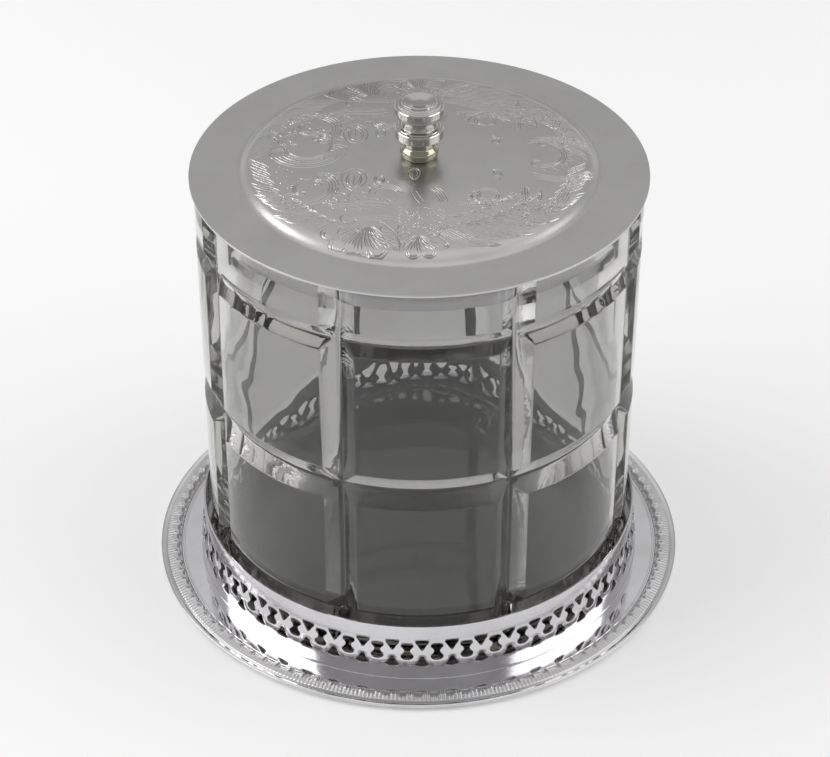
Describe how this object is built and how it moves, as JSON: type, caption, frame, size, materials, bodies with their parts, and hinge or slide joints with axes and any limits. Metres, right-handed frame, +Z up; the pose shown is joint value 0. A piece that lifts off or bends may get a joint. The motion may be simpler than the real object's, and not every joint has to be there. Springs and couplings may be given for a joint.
{
  "type": "biscuit jar",
  "caption": "Round glass jar with bevelled block panels, standing in a pierced gallery on a plated round tray, with a lift-off plated lid with a low engraved dome and a turned knob.",
  "frame": {"origin": "centre of the tray's flat underside", "axes": "+Z up along the axis that the tray, jar, lid and knob share, -Y towards the side the picture shows"},
  "size_m": [0.1886, 0.1886, 0.1829],
  "materials": {
    "polished_plate": "polished silver plate",
    "satin_plate": "silver plate dulled by fine wear",
    "clear_glass": "clear moulded glass, fire polished",
    "bare_brass": "pale worn brass",
    "steel": "plain steel"
  },
  "bodies": {
    "tray": {"base_plate": "polished_plate", "bead_border": "satin_plate", "gallery_band": "polished_plate"},
    "jar": {"glass_jar": "clear_glass"},
    "lid": {"lid_cover": "satin_plate", "lid_collar": "polished_plate", "finial": "polished_plate", "finial_foot": "bare_brass", "finial_stud": "steel", "finial_washer": "steel", "finial_nut": "steel"}
  },
  "joints": [
    {"name": "jar_lift", "type": "slide", "parent": "tray", "child": "jar", "axis": [0, 0, 1], "range_m": [0, 0.06]},
    {"name": "lid_lift", "type": "slide", "parent": "jar", "child": "lid", "axis": [0, 0, 1], "range_m": [0, 0.06]}
  ]
}
